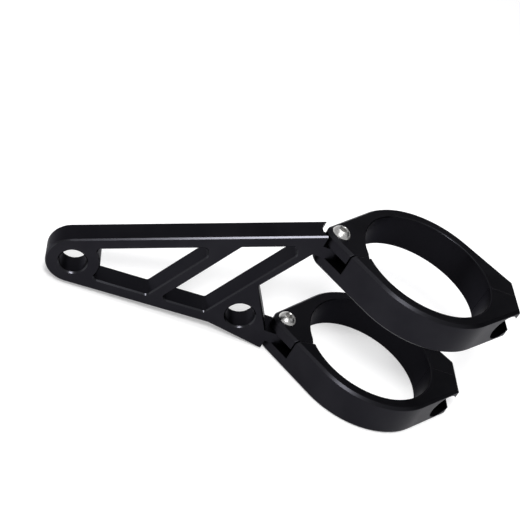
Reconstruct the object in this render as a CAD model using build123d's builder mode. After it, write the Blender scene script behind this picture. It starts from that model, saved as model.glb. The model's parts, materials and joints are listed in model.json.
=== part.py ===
"""Headlight mounting bracket: a flat truss arm carried by two hinged clamps that close round a fork tube.

Frame: +Z runs up the fork axis, +X points away from the headlight, and Y is across the arm.
The origin is on the fork axis, at mid height of the lower clamp.
"""
from build123d import *
from math import acos, atan2, cos, radians, sin
import os

# Fork clamps
bore_diameter = 52.0
clamp_wall = 4.9
clamp_height = 14.0
clamp_pitch = 44.3
clamp_edge_chamfer = 1.0
bore_edge_chamfer = 0.3

# Nose of each clamp, where the two halves are pinched together
nose_beyond_bore = 12.2
nose_width = 16.2
split_gap = 0.12
pinch_inset = 4.7
counterbore_diameter = 11.0
counterbore_floor = 3.0
pinch_clearance_diameter = 6.4
pinch_tapped_diameter = 5.2

# Hinge at the other end of each clamp
pivot_beyond_bore = 10.0
lug_radius = 5.0
tongue_height = 4.6
running_gap = 0.05
slot_radius = 11.4
slot_wall = 1.5
seam_offset = 9.3
seam_along = 8.3
seam_angle = 13.0
seam_gap = 0.3
lug_relief = 0.4

# Pivot screws, with a button head and a hexagon socket
screw_diameter = 4.0
screw_end_gap = 0.4
screw_end_chamfer = 0.4
head_diameter = 7.0
head_height = 2.2
head_rim = 0.35
head_crown_diameter = 3.6
socket_width = 2.5
socket_depth = 1.3
socket_mouth = 0.3

# Arm plate
arm_thickness = 9.3
arm_edge_chamfer = 0.5
shoulder_radius = 7.0
shoulder_reach = 3.0
top_corner_rise = 1.2
upper_root_rise = 4.4
lower_root_drop = 3.8

# Headlight eye at the front of the arm, measured from the pivot axis and the lower clamp's mid height
eye_ahead = 83.9
eye_height = 4.8
eye_radius = 9.8
eye_hole_diameter = 10.0

# Second hole, near the lower rear corner
rear_hole_ahead = 18.8
rear_hole_height = 5.3
rear_hole_diameter = 11.0

# Outline points that are not set by the eye or the hinges
kink_ahead = 28.2
kink_height = -2.6
notch_ahead = 18.4
notch_height = 20.6
notch_fillet = 1.0

# Bars, struts and windows
top_bar_width = 4.6
bottom_bar_width = 4.7
strut_width = 4.4
rear_strut_width = 3.0
strut_angle = 62.2
rear_window_width = 15.0
window_blunt = 3.8
window_fillet = 1.4

bore_radius = bore_diameter / 2
ring_radius = bore_radius + clamp_wall
nose_reach = bore_radius + nose_beyond_bore
pinch_reach = nose_reach - pinch_inset
pivot_reach = bore_radius + pivot_beyond_bore
slot_height = tongue_height + 2 * running_gap
lug_height = (clamp_height - slot_height) / 2
pivot_hole_radius = screw_diameter / 2 + running_gap
pivot_x = -pivot_reach
reach = pivot_reach + nose_reach
seam_length = 2 * (pivot_reach - seam_along)
lower_bottom = -clamp_height / 2
upper_bottom = lower_bottom + clamp_pitch


def meet(point_a, direction_a, point_b, direction_b):
    """Point where two lines of the XZ outline cross."""
    across = point_b - point_a
    turn = direction_a.X * direction_b.Y - direction_a.Y * direction_b.X
    along = (across.X * direction_b.Y - across.Y * direction_b.X) / turn
    return point_a + direction_a * along


def tangent_point(centre, radius, target, side):
    """Point of a circle where the line from target touches it; side is +1 above the circle and -1 below it."""
    to_target = target - centre
    angle = atan2(to_target.Y, to_target.X) + side * acos(radius / to_target.length)
    return centre + Vector(cos(angle), sin(angle)) * radius


def clamp_half(bottom, side):
    """Half of a hinged clamp: side +1 lies at +Y with its lug on top, side -1 is the same piece turned over."""
    top = bottom + clamp_height
    lug_base = top - lug_height if side > 0 else bottom
    rest_base = bottom if side > 0 else bottom + lug_height
    other_lug_base = bottom if side > 0 else top - lug_height - running_gap
    seam_place = (pivot_x + seam_along, -side * (seam_offset - seam_gap / 2))
    mirrored_seam_place = (pivot_x + seam_along, side * (seam_offset + seam_gap / 2))
    away = (Align.CENTER, Align.MAX if side > 0 else Align.MIN)

    with BuildPart() as half:
        with BuildSketch(Plane.XY.offset(bottom)):
            with BuildLine():
                CenterArc((0, 0), ring_radius, 0, 360)
                CenterArc((pivot_x, 0), lug_radius, 0, 360)
                Line((nose_reach, -nose_width / 2), (nose_reach, nose_width / 2))
            make_hull()
            Circle(bore_radius, mode=Mode.SUBTRACT)
        extrude(amount=clamp_height)
        rims = half.faces().filter_by(Axis.Z).edges()
        chamfer(rims.filter_by(lambda edge: edge.is_closed), bore_edge_chamfer)
        rims = half.faces().filter_by(Axis.Z).edges()
        chamfer(rims.filter_by(lambda edge: not edge.is_closed), clamp_edge_chamfer)

        # The other half's side of the nose
        with BuildSketch(Plane.XY.offset(bottom)):
            with Locations((0, side * split_gap / 2)):
                Rectangle(2 * reach, 2 * reach, align=(Align.MIN, away[1]))
        extrude(amount=clamp_height, mode=Mode.SUBTRACT)

        # The other half's side of the hinge, in the lug's own layer and then in the other two layers
        with BuildSketch(Plane.XY.offset(lug_base)):
            with Locations(seam_place):
                Rectangle(seam_length, 2 * reach, rotation=side * seam_angle, align=away)
            with Locations((lug_relief - bore_radius, 0)):
                Rectangle(bore_radius, seam_offset, align=(Align.MIN, away[1]))
        extrude(amount=lug_height, mode=Mode.SUBTRACT)
        with BuildSketch(Plane.XY.offset(rest_base)):
            with Locations((pivot_x, 0)):
                Circle(slot_radius)
            Circle(bore_radius + slot_wall, mode=Mode.SUBTRACT)
            with Locations((0, side * split_gap / 2)):
                Rectangle(2 * reach, 2 * reach, align=(Align.MAX, away[1]))
        extrude(amount=clamp_height - lug_height, mode=Mode.SUBTRACT)
        with BuildSketch(Plane.XY.offset(other_lug_base)):
            with Locations(mirrored_seam_place):
                Rectangle(seam_length, 2 * reach, rotation=-side * seam_angle, align=away)
        extrude(amount=lug_height + running_gap, mode=Mode.SUBTRACT)

        with BuildSketch(Plane.XY.offset(lug_base)):
            with Locations((pivot_x, 0)):
                Circle(pivot_hole_radius)
        extrude(amount=lug_height, mode=Mode.SUBTRACT)
    return half.part


def tapped_half(bottom):
    """Far half of a clamp, whose nose takes the pinch screw's thread."""
    blank = clamp_half(bottom, 1)
    with BuildPart() as half:
        add(blank)
        with BuildSketch(Plane.XZ):
            with Locations((pinch_reach, bottom + clamp_height / 2)):
                Circle(pinch_tapped_diameter / 2)
        extrude(amount=-reach, mode=Mode.SUBTRACT)
    return half.part


def counterbored_half(bottom):
    """Near half of a clamp, whose nose takes the pinch screw's head in a counterbore that is open at the end."""
    blank = clamp_half(bottom, -1)
    with BuildPart() as half:
        add(blank)
        with BuildSketch(Plane.XZ):
            with Locations((pinch_reach, bottom + clamp_height / 2)):
                Circle(pinch_clearance_diameter / 2)
        extrude(amount=reach, mode=Mode.SUBTRACT)
        with BuildSketch(Plane.XZ.offset(counterbore_floor)):
            with Locations((pinch_reach, bottom + clamp_height / 2)):
                Circle(counterbore_diameter / 2)
        extrude(amount=reach, mode=Mode.SUBTRACT)
    return half.part


def pivot_screw(bottom):
    """Button head screw that stands in a clamp's hinge, with its head on the upper lug."""
    seat = bottom + clamp_height
    end = bottom + screw_end_gap
    radius = screw_diameter / 2
    crown = (pivot_x + head_crown_diameter / 2, seat + head_height)
    rim = (pivot_x + head_diameter / 2, seat + head_rim)
    with BuildPart() as screw:
        with BuildSketch(Plane.XZ):
            with BuildLine():
                Polyline(
                    crown,
                    (pivot_x, seat + head_height),
                    (pivot_x, end),
                    (pivot_x + radius - screw_end_chamfer, end),
                    (pivot_x + radius, end + screw_end_chamfer),
                    (pivot_x + radius, seat),
                    (pivot_x + head_diameter / 2, seat),
                    rim,
                )
                RadiusArc(rim, crown, -(head_diameter / 2))
            make_face()
        revolve(axis=Axis((pivot_x, 0, 0), (0, 0, 1)))
        with BuildSketch(Plane.XY.offset(seat + head_height)):
            with Locations((pivot_x, 0)):
                RegularPolygon(socket_width / 2, 6, major_radius=False)
        extrude(amount=-socket_depth, mode=Mode.SUBTRACT)
        with Locations((pivot_x, 0, seat + head_height)):
            Cone(
                bottom_radius=socket_width / 2,
                top_radius=socket_width / 2 + socket_mouth,
                height=socket_mouth,
                align=(Align.CENTER, Align.CENTER, Align.MAX),
                mode=Mode.SUBTRACT,
            )
    return screw.part


# Arm outline, worked out in its own plane: X along the arm and Y for the height
eye = Vector(pivot_x - eye_ahead, eye_height)
shoulder_x = pivot_x - shoulder_reach
top_corner = Vector(shoulder_x, upper_bottom + clamp_height + top_corner_rise)
upper_root = Vector(shoulder_x, upper_bottom + clamp_height / 2 + upper_root_rise)
notch = Vector(pivot_x - notch_ahead, notch_height)
lower_root = Vector(shoulder_x, lower_bottom + clamp_height / 2 - lower_root_drop)
foot_corner = Vector(shoulder_x, lower_bottom)
kink = Vector(pivot_x - kink_ahead, kink_height)
top_touch = tangent_point(eye, eye_radius, top_corner, 1)
bottom_touch = tangent_point(eye, eye_radius, kink, -1)

# Lines that bound the windows
top_way = (top_corner - top_touch).normalized()
bottom_way = (kink - bottom_touch).normalized()
strut_way = Vector(cos(radians(strut_angle)), sin(radians(strut_angle)))
strut_normal = Vector(-strut_way.Y, strut_way.X)
top_normal = Vector(top_way.Y, -top_way.X)
bottom_normal = Vector(-bottom_way.Y, bottom_way.X)
window_top = top_touch + top_normal * top_bar_width
window_bottom = bottom_touch + bottom_normal * bottom_bar_width
rear_edge = notch + strut_normal * rear_strut_width
middle_edge = rear_edge + strut_normal * rear_window_width
front_edge = middle_edge + strut_normal * strut_width


def blunt_corner(edge):
    """Two points that cut a window's sharp upper corner square to the top bar."""
    back = window_blunt / (strut_way.X * top_way.Y - strut_way.Y * top_way.X)
    sharp = meet(window_top, top_way, edge, strut_way)
    lower = sharp + strut_way * back
    upper = meet(window_top, top_way, lower, top_normal)
    return lower, upper


front_lower, front_upper = blunt_corner(front_edge)
rear_lower, rear_upper = blunt_corner(rear_edge)
front_window = [
    meet(window_top, top_way, eye, top_normal),
    meet(window_bottom, bottom_way, eye, bottom_normal),
    meet(window_bottom, bottom_way, front_edge, strut_way),
    front_lower,
    front_upper,
]
rear_window = [
    meet(window_bottom, bottom_way, middle_edge, strut_way),
    meet(window_bottom, bottom_way, rear_edge, strut_way),
    rear_lower,
    rear_upper,
    meet(window_top, top_way, middle_edge, strut_way),
]

with BuildSketch(Plane.XZ) as front_opening:
    Polygon(*front_window, align=None)
    with Locations(eye):
        Circle(eye_radius, mode=Mode.SUBTRACT)
    fillet(front_opening.vertices(), window_fillet)

with BuildSketch(Plane.XZ) as rear_opening:
    Polygon(*rear_window, align=None)
    fillet(rear_opening.vertices(), window_fillet)

with BuildPart() as arm:
    with BuildSketch(Plane.XZ) as plate:
        with BuildLine():
            Polyline(top_touch, top_corner, upper_root, notch, lower_root, foot_corner, kink, bottom_touch)
            ThreePointArc(bottom_touch, eye - Vector(eye_radius, 0), top_touch)
        make_face()
        fillet(plate.vertices().sort_by_distance(notch)[0], notch_fillet)
        add(front_opening.sketch_local, mode=Mode.SUBTRACT)
        add(rear_opening.sketch_local, mode=Mode.SUBTRACT)
        with Locations(eye):
            Circle(eye_hole_diameter / 2, mode=Mode.SUBTRACT)
        with Locations((pivot_x - rear_hole_ahead, rear_hole_height)):
            Circle(rear_hole_diameter / 2, mode=Mode.SUBTRACT)
    extrude(amount=arm_thickness / 2, both=True)
    chamfer(arm.faces().filter_by(Axis.Y).edges(), arm_edge_chamfer)

    # Hollow shoulders that the lugs swing in, and the tongues between the lugs
    for bottom in (lower_bottom, upper_bottom):
        with BuildSketch(Plane.XY.offset(bottom - clamp_height / 2)):
            with Locations((pivot_x, 0)):
                Circle(shoulder_radius)
        extrude(amount=2 * clamp_height, mode=Mode.SUBTRACT)
        with BuildSketch(Plane.XY.offset(bottom + lug_height + running_gap)):
            with Locations((pivot_x, 0)):
                Circle(arm_thickness / 2)
                Rectangle(2 * shoulder_radius, arm_thickness, align=(Align.MAX, Align.CENTER))
                Circle(pivot_hole_radius, mode=Mode.SUBTRACT)
        extrude(amount=tongue_height)

pieces = {
    "arm": arm.part,
    "upper_clamp_tapped_half": tapped_half(upper_bottom),
    "upper_clamp_counterbored_half": counterbored_half(upper_bottom),
    "upper_pivot_screw": pivot_screw(upper_bottom),
    "lower_clamp_tapped_half": tapped_half(lower_bottom),
    "lower_clamp_counterbored_half": counterbored_half(lower_bottom),
    "lower_pivot_screw": pivot_screw(lower_bottom),
}

os.makedirs("parts", exist_ok=True)
for name, piece in pieces.items():
    piece.label = name
    export_step(piece, f"parts/{name}.step")
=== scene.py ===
"""Looks of a headlight mounting bracket.

The arm and the clamps have satin black anodising, and the pivot screws are turned stainless steel.
The bracket stands on a pale floor in a plain studio.
"""
import json
from math import cos, radians, sin, tau

import bmesh
import bpy
from bpy.props import FloatProperty, FloatVectorProperty, IntProperty, PointerProperty
from bpy.types import Operator, Panel, PropertyGroup
from mathutils import Matrix, Vector


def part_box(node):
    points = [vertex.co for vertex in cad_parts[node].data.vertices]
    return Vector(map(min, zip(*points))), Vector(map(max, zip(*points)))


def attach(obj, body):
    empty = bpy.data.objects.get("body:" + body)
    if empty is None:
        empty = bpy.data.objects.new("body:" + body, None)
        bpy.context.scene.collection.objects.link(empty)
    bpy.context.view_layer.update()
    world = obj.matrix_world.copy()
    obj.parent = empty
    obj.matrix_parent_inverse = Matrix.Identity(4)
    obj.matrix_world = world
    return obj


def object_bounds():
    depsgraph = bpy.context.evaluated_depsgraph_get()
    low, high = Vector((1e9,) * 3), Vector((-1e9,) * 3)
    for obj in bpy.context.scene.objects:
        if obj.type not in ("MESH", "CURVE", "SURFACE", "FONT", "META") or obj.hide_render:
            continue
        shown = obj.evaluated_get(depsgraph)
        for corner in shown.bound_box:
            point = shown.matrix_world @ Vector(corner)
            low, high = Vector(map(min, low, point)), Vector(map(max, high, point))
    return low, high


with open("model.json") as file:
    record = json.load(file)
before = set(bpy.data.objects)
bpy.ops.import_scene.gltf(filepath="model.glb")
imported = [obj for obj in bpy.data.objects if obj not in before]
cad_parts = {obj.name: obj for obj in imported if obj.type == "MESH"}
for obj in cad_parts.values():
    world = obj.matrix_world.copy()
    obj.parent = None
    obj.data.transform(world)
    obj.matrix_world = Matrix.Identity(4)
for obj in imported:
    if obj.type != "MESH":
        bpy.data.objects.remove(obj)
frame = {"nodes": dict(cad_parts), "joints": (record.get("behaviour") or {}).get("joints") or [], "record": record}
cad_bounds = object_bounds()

bl_info = {
    "name": "Headlight bracket looks",
    "version": (1, 0, 0),
    "blender": (4, 5, 0),
    "location": "3D View > Sidebar > Bracket",
    "description": "Dresses a hinged headlight bracket in its finishes and sets it in a studio",
    "category": "Object",
}

MM = 0.001
WHITE = (1.0, 1.0, 1.0)
UP = (0.0, 0.0, 1.0)
LEVELS = ("upper", "lower")
FLOOR_HEIGHT = cad_bounds[0].z

# Scale that leaves only the level part of a vector
FLATTEN = (1.0, 1.0, 0.0)

# Axis along which a piece's cutter stood
ACROSS_ARM = 1
ALONG_FORK = 2

# Noise values between which a pattern goes from one look to the other, and how finely it breaks up
NOISE_BAND = (0.3, 0.7)
NOISE_DETAIL = 2.0
GRAIN_DETAIL = 3.0

# Slopes along the cutter's axis between which a wall becomes a chamfer, and a chamfer becomes a face
WALL_BAND = (0.30, 0.45)
FACE_BAND = (0.85, 0.95)

# Depths behind a bore's wall between which its darker film of painted shade ends, and between which its end
# chamfer ends
BORE_SHADE_BAND = (0.05 * MM, 0.25 * MM)
RIM_BAND = (0.30 * MM, 0.45 * MM)

# Rays by which the shading finds a rounded edge
EDGE_SAMPLES = 8

# Scale along the cutter's axis that draws its marks out
MARK_STRETCH = 0.04

# Shares of the broad patterns in the roughness, and the width of a smear in turning marks
CLOUD_SHARE = 0.4
SMEAR_SHARE = 0.5
SMEAR_WIDTH = 8.0

# Shares of the horizon's height between which the white surroundings become the ceiling
HORIZON_BAND = (0.8, 1.3)

# Places of the two inputs and of the result on a mix node
MIX_SOCKETS = {"FLOAT": (2, 3, 0), "RGBA": (6, 7, 2)}


def mount(name):
    """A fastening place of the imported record, by its name."""
    return next(place for place in frame["record"]["mounts"] if place["name"] == name)


def hinge(name):
    """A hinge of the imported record, by its name."""
    return next(joint for joint in frame["joints"] if joint["name"] == name)


class AnodisedFinish(PropertyGroup):
    """Black anodising over bead-blasted aluminium."""

    colour: FloatVectorProperty(
        name="Colour", description="Film where the dye is deepest", subtype="COLOR", size=3,
        default=(0.0119, 0.0116, 0.0145), min=0.0, max=1.0)
    pale_colour: FloatVectorProperty(
        name="Pale colour", description="Film where the dye is thinner", subtype="COLOR", size=3,
        default=(0.0152, 0.0149, 0.0181), min=0.0, max=1.0)
    arm_edge_colour: FloatVectorProperty(
        name="Arm edge colour", description="Film on the arm's milled chamfers", subtype="COLOR", size=3,
        default=(0.027, 0.027, 0.031), min=0.0, max=1.0)
    clamp_edge_colour: FloatVectorProperty(
        name="Clamp edge colour", description="Film on the clamps' turned chamfers", subtype="COLOR",
        size=3, default=(0.019, 0.019, 0.022), min=0.0, max=1.0)
    # Painted shade: a darker film that darkens the clamps' bores
    bore_shade_colour: FloatVectorProperty(
        name="Bore colour", description="Film in the honed bores of the clamps", subtype="COLOR", size=3,
        default=(0.0078, 0.0076, 0.0095), min=0.0, max=1.0)
    wall_tint: FloatVectorProperty(
        name="Wall tint", description="Share of the reflection at a low angle that the clamps' faces keep",
        subtype="COLOR", size=3, default=(0.73, 0.73, 0.74), min=0.0, max=1.0)
    # In the bores this lower share is part of the painted shade
    cut_tint: FloatVectorProperty(
        name="Cut tint", description="The same share on the milled arm, in the bores and on the chamfers",
        subtype="COLOR", size=3, default=(0.52, 0.52, 0.53), min=0.0, max=1.0)
    smooth_roughness: FloatProperty(
        name="Smooth roughness", description="Roughness at the smoothest spots", subtype="FACTOR",
        default=0.33, min=0.0, max=1.0)
    dull_roughness: FloatProperty(
        name="Dull roughness", description="Roughness at the dullest spots", subtype="FACTOR",
        default=0.45, min=0.0, max=1.0)
    arm_edge_roughness: FloatProperty(
        name="Arm edge roughness", description="Roughness of the arm's milled chamfers", subtype="FACTOR",
        default=0.24, min=0.0, max=1.0)
    clamp_edge_roughness: FloatProperty(
        name="Clamp edge roughness", description="Roughness of the clamps' turned chamfers",
        subtype="FACTOR", default=0.35, min=0.0, max=1.0)
    bore_edge_roughness: FloatProperty(
        name="Bore edge roughness", description="Roughness of the small chamfers at the bores' ends",
        subtype="FACTOR", default=0.215, min=0.0, max=1.0)
    edge_break: FloatProperty(
        name="Edge break", description="Rounding that the blasting leaves on the clamps' edges",
        unit="LENGTH", default=0.35 * MM, min=0.0, precision=5)
    grain_size: FloatProperty(
        name="Grain size", description="Width of a dimple left by the blasting beads", unit="LENGTH",
        default=0.16 * MM, min=0.01 * MM, precision=5)
    grain_depth: FloatProperty(
        name="Grain depth", description="Depth of those dimples", unit="LENGTH",
        default=0.0035 * MM, min=0.0, precision=6)
    mark_size: FloatProperty(
        name="Mill mark size", description="Spacing of the cutter's marks on the walls", unit="LENGTH",
        default=0.35 * MM, min=0.01 * MM, precision=5)
    mark_depth: FloatProperty(
        name="Mill mark depth", description="Depth of those marks", unit="LENGTH",
        default=0.0020 * MM, min=0.0, precision=6)
    cloud_size: FloatProperty(
        name="Cloud size", description="Width of the soft changes of tone", unit="LENGTH",
        default=14.0 * MM, min=0.1 * MM, precision=4)


class StainlessFinish(PropertyGroup):
    """Turned stainless steel of the screws."""

    colour: FloatVectorProperty(
        name="Colour", description="Bright turned steel", subtype="COLOR", size=3,
        default=(0.62, 0.615, 0.60), min=0.0, max=1.0)
    dull_colour: FloatVectorProperty(
        name="Dull colour", description="Steel between the turning marks", subtype="COLOR", size=3,
        default=(0.43, 0.425, 0.415), min=0.0, max=1.0)
    smooth_roughness: FloatProperty(
        name="Smooth roughness", description="Roughness on the turning marks", subtype="FACTOR",
        default=0.20, min=0.0, max=1.0)
    dull_roughness: FloatProperty(
        name="Dull roughness", description="Roughness between the turning marks", subtype="FACTOR",
        default=0.34, min=0.0, max=1.0)
    ring_size: FloatProperty(
        name="Ring size", description="Spacing of the turning marks", unit="LENGTH",
        default=0.09 * MM, min=0.01 * MM, precision=5)
    ring_depth: FloatProperty(
        name="Ring depth", description="Depth of the turning marks", unit="LENGTH",
        default=0.0025 * MM, min=0.0, precision=6)


class PinchThread(PropertyGroup):
    """Screw thread in the tapped hole of each clamp."""

    pitch: FloatProperty(
        name="Pitch", description="Rise of the thread in one turn", unit="LENGTH",
        default=1.0 * MM, min=0.2 * MM, precision=4)
    depth: FloatProperty(
        name="Depth", description="Height of the thread's crest above the hole's wall", unit="LENGTH",
        default=0.20 * MM, min=0.02 * MM, precision=5)
    crest_share: FloatProperty(
        name="Crest share", description="Width of the crest as a share of the pitch", subtype="FACTOR",
        default=0.16, min=0.02, max=0.4)
    root_share: FloatProperty(
        name="Root share", description="Width of the root as a share of the pitch", subtype="FACTOR",
        default=0.92, min=0.5, max=1.0)
    root_sink: FloatProperty(
        name="Root sink", description="How far the root reaches into the hole's wall", unit="LENGTH",
        default=0.02 * MM, min=0.0, precision=5)
    run_in: FloatProperty(
        name="Run-in", description="Plain length before the thread starts", unit="LENGTH",
        default=0.6 * MM, min=0.0, precision=4)
    mouth_depth: FloatProperty(
        name="Mouth depth", description="Depth below the nose's flat where the thread ends", unit="LENGTH",
        default=0.25 * MM, min=0.0, precision=4)
    steps: IntProperty(
        name="Steps", description="Steps in one turn of the thread", default=40, min=8)


class Studio(PropertyGroup):
    """Floor, lamps, surroundings and camera."""

    floor_colour: FloatVectorProperty(
        name="Floor colour", description="Pale sheet that the bracket stands on", subtype="COLOR", size=3,
        default=(0.80, 0.80, 0.80), min=0.0, max=1.0)
    floor_glow: FloatProperty(
        name="Floor glow", description="White that the floor shows of itself", subtype="FACTOR",
        default=0.31, min=0.0, max=1.0)
    floor_size: FloatProperty(
        name="Floor size", description="Side of the floor sheet", unit="LENGTH", default=6.0, min=0.5)
    horizon_colour: FloatVectorProperty(
        name="Horizon colour", description="Surroundings at the floor's level", subtype="COLOR", size=3,
        default=WHITE, min=0.0, max=1.0)
    horizon_top: FloatProperty(
        name="Horizon top", description="Height angle where the white surroundings end", subtype="ANGLE",
        default=radians(6.0), min=0.0, max=radians(80.0))
    ceiling_colour: FloatVectorProperty(
        name="Ceiling colour", description="Surroundings above the horizon", subtype="COLOR", size=3,
        default=(0.58, 0.58, 0.59), min=0.0, max=1.0)
    screen_colour: FloatVectorProperty(
        name="Screen colour", description="Dark screen behind the bracket on the right", subtype="COLOR",
        size=3, default=(0.05, 0.05, 0.055), min=0.0, max=1.0)
    screen_turn: FloatProperty(
        name="Screen turn", description="Turn to the right, from straight ahead, of the screen's middle",
        subtype="ANGLE", default=radians(60.0))
    screen_edge: FloatProperty(
        name="Screen edge", description="Angle from the screen's middle to its soft edge", subtype="ANGLE",
        default=radians(51.0), min=0.0, max=radians(180.0))
    screen_core: FloatProperty(
        name="Screen core", description="Angle from the screen's middle to where it is darkest",
        subtype="ANGLE", default=radians(44.0), min=0.0, max=radians(180.0))
    key_power: FloatProperty(
        name="Key power", description="Power of the soft lamp above the camera", unit="POWER",
        default=2.9, min=0.0)
    key_size: FloatProperty(
        name="Key size", description="Side of the soft lamp above the camera", unit="LENGTH",
        default=0.15, min=0.01)
    key_direction: FloatVectorProperty(
        name="Key direction", description="Way from the aim to the soft lamp above the camera",
        subtype="DIRECTION", size=3, default=(-0.25, -0.61, 0.75))
    key_distance: FloatProperty(
        name="Key distance", description="From the aim to the soft lamp above the camera", unit="LENGTH",
        default=0.64, min=0.05)
    top_power: FloatProperty(
        name="Top power", description="Power of the wide lamp overhead", unit="POWER", default=2.5, min=0.0)
    top_size: FloatProperty(
        name="Top size", description="Side of the wide lamp overhead", unit="LENGTH",
        default=0.70, min=0.01)
    top_direction: FloatVectorProperty(
        name="Top direction", description="Way from the aim to the wide lamp overhead", subtype="DIRECTION",
        size=3, default=(0.0, 0.05, 1.0))
    top_distance: FloatProperty(
        name="Top distance", description="From the aim to the wide lamp overhead", unit="LENGTH",
        default=0.80, min=0.05)
    lens: FloatProperty(
        name="Lens", description="Focal length of the camera", unit="CAMERA", default=89.93, min=10.0)
    aim: FloatVectorProperty(
        name="Aim", description="Point in the middle of the picture", subtype="TRANSLATION", unit="LENGTH",
        size=3, default=(-55.44 * MM, 5.55 * MM, 24.88 * MM))
    distance: FloatProperty(
        name="Distance", description="From the aim to the camera", unit="LENGTH", default=476.5 * MM,
        min=0.05)
    azimuth: FloatProperty(
        name="Azimuth", description="Turn of the camera's view to the right of straight ahead",
        subtype="ANGLE", default=radians(20.342))
    elevation: FloatProperty(
        name="Elevation", description="Camera's height above level", subtype="ANGLE",
        default=radians(33.728))
    roll: FloatProperty(
        name="Roll", description="Camera's tilt about its own line of sight", subtype="ANGLE",
        default=radians(30.69))


class BracketLooks(PropertyGroup):
    """Everything that a user may change."""

    anodised: PointerProperty(type=AnodisedFinish)
    stainless: PointerProperty(type=StainlessFinish)
    thread: PointerProperty(type=PinchThread)
    studio: PointerProperty(type=Studio)


class ShaderTree:
    """The emptied node tree of a material or a world, with short ways to add and join nodes."""

    def __init__(self, owner):
        owner.use_nodes = True
        self.owner = owner
        self.tree = owner.node_tree
        self.tree.nodes.clear()

    def add(self, kind, **settings):
        """A node of one kind, with some of its settings."""
        node = self.tree.nodes.new(kind)
        for setting, value in settings.items():
            setattr(node, setting, value)
        return node

    def feed(self, socket, value):
        """Links an input to another node's output, or sets it to a plain value."""
        if isinstance(value, bpy.types.NodeSocket):
            self.tree.links.new(value, socket)
        elif socket.type == "RGBA":
            socket.default_value = (*value, 1.0)
        else:
            socket.default_value = value

    def fill(self, node, **values):
        """Feeds inputs by name, with an underscore for each space."""
        for name, value in values.items():
            self.feed(node.inputs[name.replace("_", " ")], value)
        return node

    def fill_in_order(self, node, *values):
        """Feeds inputs from the first one on."""
        for socket, value in zip(node.inputs, values):
            self.feed(socket, value)
        return node

    def math(self, operation, *numbers):
        """Result of a sum on numbers."""
        node = self.add("ShaderNodeMath", operation=operation)
        return self.fill_in_order(node, *numbers).outputs["Value"]

    def vector_math(self, operation, *vectors):
        """Result of a sum on vectors, which is a number for a length or a dot product."""
        node = self.add("ShaderNodeVectorMath", operation=operation)
        result = "Value" if operation in ("LENGTH", "DOT_PRODUCT") else "Vector"
        return self.fill_in_order(node, *vectors).outputs[result]

    def noise(self, vector, size, detail=NOISE_DETAIL):
        """Cloudy pattern whose features are about one size wide, in metres."""
        node = self.add("ShaderNodeTexNoise")
        return self.fill(node, Vector=vector, Scale=1.0 / size, Detail=detail).outputs["Fac"]

    def spread(self, value, low, high, band=NOISE_BAND):
        """A value inside a band, moved smoothly to the range from low to high."""
        node = self.add("ShaderNodeMapRange", interpolation_type="SMOOTHSTEP")
        self.fill(node, Value=value, From_Min=band[0], From_Max=band[1], To_Min=low, To_Max=high)
        return node.outputs["Result"]

    def mix(self, data_type, share, first, second):
        """A value between two others of one type."""
        node = self.add("ShaderNodeMix", data_type=data_type)
        first_place, second_place, result_place = MIX_SOCKETS[data_type]
        self.fill(node, Factor=share)
        self.feed(node.inputs[first_place], first)
        self.feed(node.inputs[second_place], second)
        return node.outputs[result_place]

    def mix_colour(self, share, first, second):
        """A colour between two others."""
        return self.mix("RGBA", share, first, second)

    def mix_number(self, share, first, second):
        """A number between two others."""
        return self.mix("FLOAT", share, first, second)

    def bump(self, depth, height, normal=None):
        """Surface direction with a pattern pressed into it, on top of another direction if one is given."""
        node = self.fill(self.add("ShaderNodeBump"), Strength=1.0, Distance=depth, Height=height)
        if normal is not None:
            self.fill(node, Normal=normal)
        return node.outputs["Normal"]

    def finish_metal(self, **looks):
        """Shows bare metal on the material."""
        shader = self.fill(self.add("ShaderNodeBsdfPrincipled"), Metallic=1.0, **looks)
        return self.finish(shader.outputs["BSDF"])

    def finish(self, surface, output="ShaderNodeOutputMaterial"):
        """Shows a shader on the material or the world, and gives that back."""
        self.fill(self.add(output), Surface=surface)
        return self.owner


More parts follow.
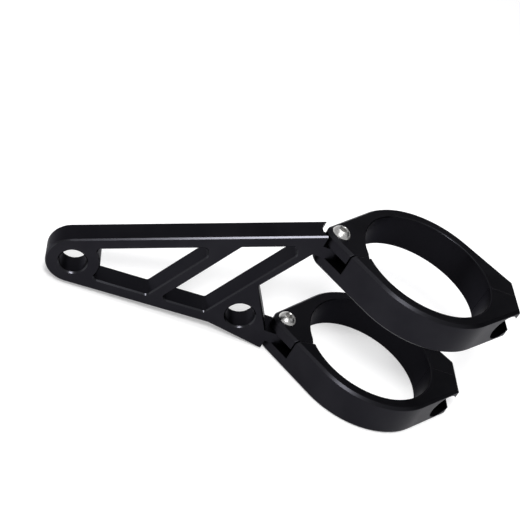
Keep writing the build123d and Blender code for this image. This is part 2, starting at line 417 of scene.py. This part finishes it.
def anodised_black(name, finish, tool_axis, edge_colour, edge_roughness, bore_radius=0.0):
    """Satin black anodising.

    Mill marks run along the cutter's axis, and chamfers slope along it.
    A bore, where there is one, is found by its radius about the fork axis and gets a darker film and a lower tint
    as painted shade, and the piece's edges are softly rounded.
    """
    nodes = ShaderTree(bpy.data.materials.new(name))
    coordinates = nodes.add("ShaderNodeTexCoord")
    place = coordinates.outputs["Object"]

    clouds = nodes.noise(place, finish.cloud_size)
    grain = nodes.noise(place, finish.grain_size, GRAIN_DETAIL)
    stretch = [1.0, 1.0, 1.0]
    stretch[tool_axis] = MARK_STRETCH
    marks = nodes.noise(nodes.vector_math("MULTIPLY", place, stretch), finish.mark_size)

    facing = nodes.fill(nodes.add("ShaderNodeSeparateXYZ"), Vector=coordinates.outputs["Normal"])
    slope = nodes.math("ABSOLUTE", facing.outputs[tool_axis])
    past_wall = nodes.spread(slope, 0.0, 1.0, WALL_BAND)
    before_face = nodes.spread(slope, 1.0, 0.0, FACE_BAND)
    chamfer = nodes.math("MULTIPLY", past_wall, before_face)

    colour = nodes.mix_colour(nodes.spread(clouds, 0.0, 1.0), finish.colour, finish.pale_colour)
    dullness = nodes.mix_number(CLOUD_SHARE, grain, clouds)
    roughness = nodes.spread(dullness, finish.smooth_roughness, finish.dull_roughness)
    tint = finish.cut_tint
    rounded = None
    if bore_radius:
        radius = nodes.vector_math("LENGTH", nodes.vector_math("MULTIPLY", place, FLATTEN))
        depth = nodes.math("SUBTRACT", radius, bore_radius)
        # Painted shade in the bore: its wall gets a darker film, and the lower cut tint darkens its reflections
        # too
        shaded_bore = nodes.spread(depth, 1.0, 0.0, BORE_SHADE_BAND)
        rim = nodes.spread(depth, 1.0, 0.0, RIM_BAND)
        colour = nodes.mix_colour(shaded_bore, colour, finish.bore_shade_colour)
        tint = nodes.mix_colour(nodes.math("MAXIMUM", shaded_bore, chamfer), finish.wall_tint, tint)
        edge_roughness = nodes.mix_number(rim, edge_roughness, finish.bore_edge_roughness)
        bevel = nodes.fill(nodes.add("ShaderNodeBevel", samples=EDGE_SAMPLES), Radius=finish.edge_break)
        rounded = bevel.outputs["Normal"]
    colour = nodes.mix_colour(chamfer, colour, edge_colour)
    roughness = nodes.mix_number(chamfer, roughness, edge_roughness)

    blasted = nodes.bump(finish.grain_depth, grain, rounded)
    milled = nodes.bump(finish.mark_depth, marks, blasted)
    return nodes.finish_metal(Base_Color=colour, Roughness=roughness, Normal=milled, Specular_Tint=tint)


def turned_stainless(name, finish, axis_point):
    """Turned stainless steel with fine rings about an upright axis."""
    nodes = ShaderTree(bpy.data.materials.new(name))
    place = nodes.add("ShaderNodeTexCoord").outputs["Object"]
    from_axis = nodes.vector_math("SUBTRACT", place, axis_point)
    radius = nodes.vector_math("LENGTH", nodes.vector_math("MULTIPLY", from_axis, FLATTEN))

    rings = nodes.add("ShaderNodeTexNoise", noise_dimensions="1D")
    ring = nodes.fill(rings, W=radius, Scale=1.0 / finish.ring_size, Detail=NOISE_DETAIL).outputs["Fac"]
    smears = nodes.noise(place, SMEAR_WIDTH * finish.ring_size)

    colour = nodes.mix_colour(nodes.spread(ring, 0.0, 1.0), finish.dull_colour, finish.colour)
    wear = nodes.mix_number(SMEAR_SHARE, ring, smears)
    roughness = nodes.spread(wear, finish.dull_roughness, finish.smooth_roughness)
    turned = nodes.bump(finish.ring_depth, ring)
    return nodes.finish_metal(Base_Color=colour, Roughness=roughness, Normal=turned)


def pale_floor(name, studio):
    """Matt pale sheet that shows white to the eye and to mirrors, and still keeps shadows."""
    nodes = ShaderTree(bpy.data.materials.new(name))
    sheet = nodes.fill(nodes.add("ShaderNodeBsdfDiffuse"), Color=studio.floor_colour).outputs["BSDF"]
    glow = nodes.fill(nodes.add("ShaderNodeEmission"), Color=WHITE, Strength=studio.floor_glow)
    both = nodes.fill_in_order(nodes.add("ShaderNodeAddShader"), sheet, glow.outputs["Emission"])
    path = nodes.add("ShaderNodeLightPath")
    seen = nodes.math("MAXIMUM", path.outputs["Is Camera Ray"], path.outputs["Is Glossy Ray"])
    seen = nodes.math("MAXIMUM", seen, path.outputs["Is Transmission Ray"])
    shown = nodes.fill_in_order(nodes.add("ShaderNodeMixShader"), seen, sheet, both.outputs["Shader"])
    return nodes.finish(shown.outputs["Shader"])


def dress(node, material):
    """Gives a CAD node one material."""
    slots = frame["nodes"][node].data.materials
    slots.clear()
    slots.append(material)


def add_mesh(name, bm, material):
    """A new object from a finished bmesh."""
    mesh = bpy.data.meshes.new(name)
    bm.to_mesh(mesh)
    bm.free()
    mesh.materials.append(material)
    piece = bpy.data.objects.new(name, mesh)
    bpy.context.scene.collection.objects.link(piece)
    return piece


class BRACKET_OT_finish_arm(Operator):
    """Give the truss arm its anodised finish"""

    bl_idname = "bracket.finish_arm"
    bl_label = "Finish the arm"

    def execute(self, context):
        finish = context.scene.bracket_looks.anodised
        material = anodised_black(
            "arm_anodising", finish, ACROSS_ARM, finish.arm_edge_colour, finish.arm_edge_roughness)
        dress("arm", material)
        return {"FINISHED"}


class BRACKET_OT_finish_clamps(Operator):
    """Give the clamp halves their anodised finish"""

    bl_idname = "bracket.finish_clamps"
    bl_label = "Finish the clamps"

    def execute(self, context):
        finish = context.scene.bracket_looks.anodised
        bore_radius = mount("lower_fork_clamp")["dims"]["r_mm"] * MM
        material = anodised_black(
            "clamp_anodising", finish, ALONG_FORK, finish.clamp_edge_colour, finish.clamp_edge_roughness,
            bore_radius)
        for level in LEVELS:
            dress(f"{level}_clamp_tapped_half", material)
            dress(f"{level}_clamp_counterbored_half", material)
        return {"FINISHED"}


class BRACKET_OT_finish_screws(Operator):
    """Give the pivot screws their turned steel"""

    bl_idname = "bracket.finish_screws"
    bl_label = "Finish the pivot screws"

    def execute(self, context):
        finish = context.scene.bracket_looks.stainless
        axis_point = hinge("lower_clamp_swing")["pos_m"]
        material = turned_stainless("turned_stainless", finish, axis_point)
        for level in LEVELS:
            dress(f"{level}_pivot_screw", material)
        return {"FINISHED"}


class BRACKET_OT_cut_threads(Operator):
    """Add the screw thread in the tapped hole of each clamp"""

    bl_idname = "bracket.cut_threads"
    bl_label = "Cut the pinch threads"

    def execute(self, context):
        looks = context.scene.bracket_looks
        finish = looks.anodised
        material = anodised_black(
            "thread_anodising", finish, ACROSS_ARM, finish.clamp_edge_colour, finish.clamp_edge_roughness)
        for level in LEVELS:
            piece = add_mesh(f"{level}_pinch_thread", thread_mesh(level, looks.thread), material)
            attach(piece, f"{level}_far_half")
        return {"FINISHED"}


def nose_flat(level, hole):
    """A point on the slanted flat beside a tapped hole's outer mouth, and the way that the flat faces."""
    clamp_half = frame["nodes"][f"{level}_clamp_tapped_half"]
    _, box_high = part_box(clamp_half.name)
    # Looks in from well outside the clamp, halfway between the hole and the clamp's upper face
    beside = Vector(hole["pos_m"])
    beside.y = 2.0 * box_high.y
    beside.z = (beside.z + box_high.z) / 2
    hit, point, facing, _ = clamp_half.ray_cast(beside, Vector((0.0, -1.0, 0.0)))
    if not hit:
        raise RuntimeError(f"the {level} clamp has no flat beside its tapped hole")
    return point, facing


def thread_mesh(level, thread):
    """Closed ridge that winds along a tapped hole, from its inner mouth to the slanted flat of the nose."""
    hole = mount(f"{level}_pinch_thread")
    wall = hole["dims"]["r_mm"] * MM
    root = wall + thread.root_sink
    crest = wall - thread.depth
    half_root = thread.pitch * thread.root_share / 2
    half_crest = thread.pitch * thread.crest_share / 2
    profile = [(root, -half_root), (crest, -half_crest), (crest, half_crest), (root, half_root)]
    start = Vector(hole["pos_m"])
    start.y = thread.run_in + half_root
    turns = hole["dims"]["length_mm"] * MM / thread.pitch

    bm = bmesh.new()
    loops = []
    for step in range(int(turns * thread.steps) + 1):
        turn = step / thread.steps
        angle = turn * tau
        rise = turn * thread.pitch
        corners = [Vector((r * cos(angle), along + rise, r * sin(angle))) for r, along in profile]
        loops.append([bm.verts.new(start + corner) for corner in corners])
    for before, after in zip(loops, loops[1:]):
        for i in range(len(profile)):
            j = (i + 1) % len(profile)
            bm.faces.new((before[i], before[j], after[j], after[i]))
    bm.faces.new(loops[0])
    bm.faces.new(loops[-1])

    point, facing = nose_flat(level, hole)
    cut = bmesh.ops.bisect_plane(
        bm, geom=[*bm.verts, *bm.edges, *bm.faces], plane_co=point - facing * thread.mouth_depth,
        plane_no=facing, clear_outer=True)
    cut_edges = [item for item in cut["geom_cut"] if isinstance(item, bmesh.types.BMEdge)]
    bmesh.ops.edgeloop_fill(bm, edges=cut_edges)
    bmesh.ops.recalc_face_normals(bm, faces=bm.faces)
    return bm


class BRACKET_OT_set_stage(Operator):
    """Set up the floor, the surroundings, the lamps and the camera"""

    bl_idname = "bracket.set_stage"
    bl_label = "Set the stage"

    def execute(self, context):
        studio = context.scene.bracket_looks.studio
        lay_floor(studio)
        paint_surroundings(context.scene, studio)
        hang_lamp(
            "key_lamp", studio.aim, studio.key_direction, studio.key_distance, studio.key_size,
            studio.key_power)
        hang_lamp(
            "top_lamp", studio.aim, studio.top_direction, studio.top_distance, studio.top_size,
            studio.top_power)
        place_camera(context.scene, studio)
        context.scene.view_settings.view_transform = "Standard"
        return {"FINISHED"}


def lay_floor(studio):
    """Flat sheet under the lowest point of the bracket."""
    bm = bmesh.new()
    bmesh.ops.create_grid(bm, x_segments=1, y_segments=1, size=studio.floor_size / 2)
    bmesh.ops.translate(bm, verts=bm.verts, vec=(0.0, 0.0, FLOOR_HEIGHT))
    add_mesh("floor", bm, pale_floor("pale_floor", studio))


def paint_surroundings(scene, studio):
    """White surroundings near the floor, a grey ceiling, and a dark screen behind on the right."""
    nodes = ShaderTree(bpy.data.worlds.new("studio_surroundings"))
    way = nodes.add("ShaderNodeTexCoord").outputs["Generated"]

    screen_middle = (sin(studio.screen_turn), cos(studio.screen_turn), 0.0)
    nearness = nodes.vector_math("DOT_PRODUCT", way, screen_middle)
    screened = nodes.spread(nearness, 0.0, 1.0, (cos(studio.screen_edge), cos(studio.screen_core)))
    ceiling = nodes.mix_colour(screened, studio.ceiling_colour, studio.screen_colour)

    height = nodes.vector_math("DOT_PRODUCT", way, UP)
    horizon_band = [share * sin(studio.horizon_top) for share in HORIZON_BAND]
    above = nodes.spread(height, 0.0, 1.0, horizon_band)
    surroundings = nodes.mix_colour(above, studio.horizon_colour, ceiling)
    background = nodes.fill(nodes.add("ShaderNodeBackground"), Color=surroundings)
    scene.world = nodes.finish(background.outputs["Background"], "ShaderNodeOutputWorld")


def hang_lamp(name, aim, direction, distance, size, power):
    """Square soft lamp, turned towards the aim."""
    lamp = bpy.data.lights.new(name, "AREA")
    lamp.size = size
    lamp.energy = power
    holder = bpy.data.objects.new(name, lamp)
    away = Vector(direction).normalized()
    holder.location = Vector(aim) + away * distance
    holder.rotation_euler = (-away).to_track_quat("-Z", "Y").to_euler()
    bpy.context.scene.collection.objects.link(holder)


def place_camera(scene, studio):
    """Camera at the photographed angle."""
    ahead = Vector((
        sin(studio.azimuth) * cos(studio.elevation),
        cos(studio.azimuth) * cos(studio.elevation),
        -sin(studio.elevation),
    ))
    level_right = ahead.cross(Vector(UP)).normalized()
    level_up = level_right.cross(ahead)
    right = level_right * cos(studio.roll) + level_up * sin(studio.roll)
    up = right.cross(ahead)
    camera = bpy.data.cameras.new("camera")
    camera.lens = studio.lens
    holder = bpy.data.objects.new("camera", camera)
    turn = Matrix((right, up, -ahead)).transposed().to_4x4()
    holder.matrix_world = Matrix.Translation(Vector(studio.aim) - ahead * studio.distance) @ turn
    scene.collection.objects.link(holder)
    scene.camera = holder


class BRACKET_PT_panel(Panel):
    """Steps that dress the bracket, and their settings"""

    bl_label = "Headlight bracket"
    bl_idname = "BRACKET_PT_panel"
    bl_space_type = "VIEW_3D"
    bl_region_type = "UI"
    bl_category = "Bracket"

    def draw(self, context):
        for step in STEPS:
            self.layout.operator(step.bl_idname)
        looks = context.scene.bracket_looks
        for group in (looks.anodised, looks.stainless, looks.thread, looks.studio):
            box = self.layout.box()
            box.label(text=group.bl_rna.name)
            for setting in group.bl_rna.properties:
                if not setting.is_readonly and setting.identifier != "name":
                    box.prop(group, setting.identifier)


SETTINGS = (AnodisedFinish, StainlessFinish, PinchThread, Studio, BracketLooks)
STEPS = (
    BRACKET_OT_finish_arm,
    BRACKET_OT_finish_clamps,
    BRACKET_OT_finish_screws,
    BRACKET_OT_cut_threads,
    BRACKET_OT_set_stage,
)


def register():
    """Adds the settings, the steps and the panel."""
    for item in (*SETTINGS, *STEPS, BRACKET_PT_panel):
        bpy.utils.register_class(item)
    bpy.types.Scene.bracket_looks = PointerProperty(type=BracketLooks)


def unregister():
    """Takes them away again."""
    del bpy.types.Scene.bracket_looks
    for item in (BRACKET_PT_panel, *reversed(STEPS), *reversed(SETTINGS)):
        bpy.utils.unregister_class(item)


def main():
    """Runs every step in order."""
    register()
    bpy.ops.bracket.finish_arm()
    bpy.ops.bracket.finish_clamps()
    bpy.ops.bracket.finish_screws()
    bpy.ops.bracket.cut_threads()
    bpy.ops.bracket.set_stage()


if __name__ == "__main__":
    main()
